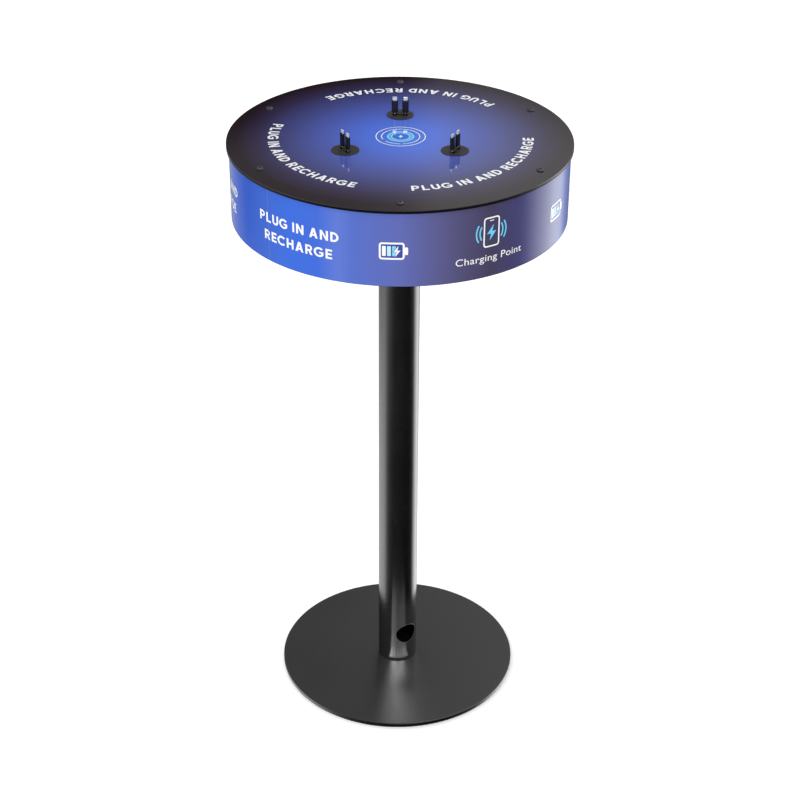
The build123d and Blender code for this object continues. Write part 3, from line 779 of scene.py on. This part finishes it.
# What gloss reflects, by the angle from the front towards +X: a broad soft light at the left
# and a brighter, narrower one at the back right. FLOOR_STUDIO is steeply below the horizon,
# LOW_STUDIO nearer to it and HIGH_STUDIO above it.
FLOOR_STUDIO = ((-180, 0.45), (-150, 0.95), (-130, 1.25), (-100, 1.30), (-87, 1.15), (-74, 0.42),
                (-58, 0.10), (-35, 0.03), (0, 0.01), (60, 0.0), (92, 0.05), (108, 1.7), (125, 2.6),
                (140, 2.6), (152, 1.2), (180, 0.45))
LOW_STUDIO = ((-180, 0.30), (-155, 0.45), (-140, 0.36), (-122, 0.20), (-100, 0.42), (-75, 0.55),
              (-50, 0.30), (-25, 0.05), (0, 0.015), (60, 0.02), (88, 0.20), (108, 1.9), (125, 2.7),
              (137, 2.1), (148, 0.6), (160, 0.24), (180, 0.20))
HIGH_STUDIO = ((-180, 0.25), (-178.5, 0.16), (-176, 0.12), (-150, 0.12), (-90, 0.40), (0, 0.50),
               (90, 0.70), (150, 0.70), (170, 0.48), (177, 0.55), (178.7, 0.50), (180, 0.25))
STUDIO_PEAK = 3.0
AMBIENT = (1.25, 0.7)      # light on matt surfaces from the left and from the right (+X)
FLOOR_REACH = 60.0
FLOOR_GLOW = 0.2

# How the studio's parts blend by the height of the direction: from one height to the other, and
# for the last two the brightness that is added there
STEEP_HEIGHTS = (-0.42, -0.52)
ABOVE_HEIGHTS = (-0.12, 0.12)
LIFT_HEIGHTS = (0.35, 0.39, -0.30, 0.08)
FALL_HEIGHTS = (0.40, 0.50, 0.0, -0.25)
DARKEST = 0.01
AMBIENT_SIDES = (0.2, 0.8)

# Name, angle from the front towards +X, elevation, width and height in metres, brightness
SOFTBOX_DISTANCE = 5.4
SOFTBOXES = (("key", -24.0, 37.0, (1.2, 2.4), 26.0), ("middle", 0.0, 30.0, (2.2, 3.0), 8.0),
             ("fill", 28.0, 37.0, (1.4, 2.4), 16.0))

# The glow in the pole's foot: each strip's angle from the front and brightness, and the lengths
# it is made of, as start, end and width on the base and share of the brightness
FOOT_GLOW = ((-25.0, 1.25), (-13.0, 0.85), (1.0, 0.55), (14.0, 0.55), (27.0, 0.6), (37.0, 0.5))
GLOW_STRIPS = ((48.0 * MM, 80.0 * MM, 12.0 * MM, 1.4), (80.0 * MM, 145.0 * MM, 22.0 * MM, 0.6),
               (145.0 * MM, 290.0 * MM, 44.0 * MM, 0.4))
GLOW_HEIGHT = 1.0 * MM     # over the base


def add_world():
    """White all round, except for what gloss reflects."""
    world = bpy.data.worlds.new("studio")
    world.use_nodes = True
    tree = world.node_tree

    def node(kind, *inputs, **settings):
        made = tree.nodes.new(kind)
        for name, value in settings.items():
            setattr(made, name, value)
        for socket, value in zip(made.inputs, inputs):
            if isinstance(value, bpy.types.NodeSocket):
                tree.links.new(value, socket)
            elif value is not None:
                socket.default_value = value
        return made

    def level(turn, studio):
        """The studio's brightness at a turn, where 0 is the back and a half is the front."""
        band = node("ShaderNodeValToRGB", turn)
        while len(band.color_ramp.elements) < len(studio):
            band.color_ramp.elements.new(0.5)
        for element, (angle, brightness) in zip(band.color_ramp.elements, studio):
            element.position = angle / 360.0 + 0.5
            element.color = (*[brightness / STUDIO_PEAK] * 3, 1.0)
        return band.outputs["Color"]

    def math(operation, *values):
        return node("ShaderNodeMath", *values, operation=operation).outputs[0]

    where = node("ShaderNodeTexCoord").outputs["Generated"]
    x, y, z = node("ShaderNodeSeparateXYZ", where).outputs
    turn = math("MULTIPLY_ADD", math("ARCTAN2", x, math("MULTIPLY", y, -1.0)), 1 / (2 * pi), 0.5)
    steep = node("ShaderNodeMapRange", z, *STEEP_HEIGHTS).outputs["Result"]
    above = node("ShaderNodeMapRange", z, *ABOVE_HEIGHTS).outputs["Result"]
    lift = math("ADD", node("ShaderNodeMapRange", z, *LIFT_HEIGHTS).outputs["Result"],
                node("ShaderNodeMapRange", z, *FALL_HEIGHTS).outputs["Result"])
    high = math("MAXIMUM", DARKEST, math("MULTIPLY_ADD", lift, 1 / STUDIO_PEAK,
                                         level(turn, HIGH_STUDIO)))
    low = node("ShaderNodeMix", steep, None, level(turn, LOW_STUDIO), level(turn, FLOOR_STUDIO))
    studio = node("ShaderNodeMix", above, None, low.outputs["Result"], high)
    reflected = math("MULTIPLY", studio.outputs["Result"], STUDIO_PEAK)
    glossy = node("ShaderNodeLightPath").outputs["Is Glossy Ray"]
    seen = node("ShaderNodeLightPath").outputs["Is Camera Ray"]
    ambient = node("ShaderNodeMapRange", x, *AMBIENT_SIDES, *AMBIENT).outputs["Result"]
    plain = node("ShaderNodeMix", seen, None, ambient, 1.0).outputs["Result"]
    strength = node("ShaderNodeMix", glossy, None, plain, reflected).outputs["Result"]
    tree.links.new(strength, tree.nodes["Background"].inputs["Strength"])
    tree.nodes["Background"].inputs["Color"].default_value = (1.0, 1.0, 1.0, 1.0)
    bpy.context.scene.world = world


def add_lights():
    lit = bpy.data.collections.new("lit_by_softboxes")
    for name, node in nodes.items():
        if name == "pole_tube" or name.endswith(("_plug_body", "_plug_tip")):
            lit.objects.link(node)
    for softbox in SOFTBOXES:
        add_softbox(*softbox, lit)
    add_foot_glow()
    bpy.context.scene.view_settings.view_transform = "Standard"


add_camera()
add_floor()
add_world()
add_lights()
dress_cad_nodes()
top_words()
charging_mark()
drum_prints()
outlet_rim()
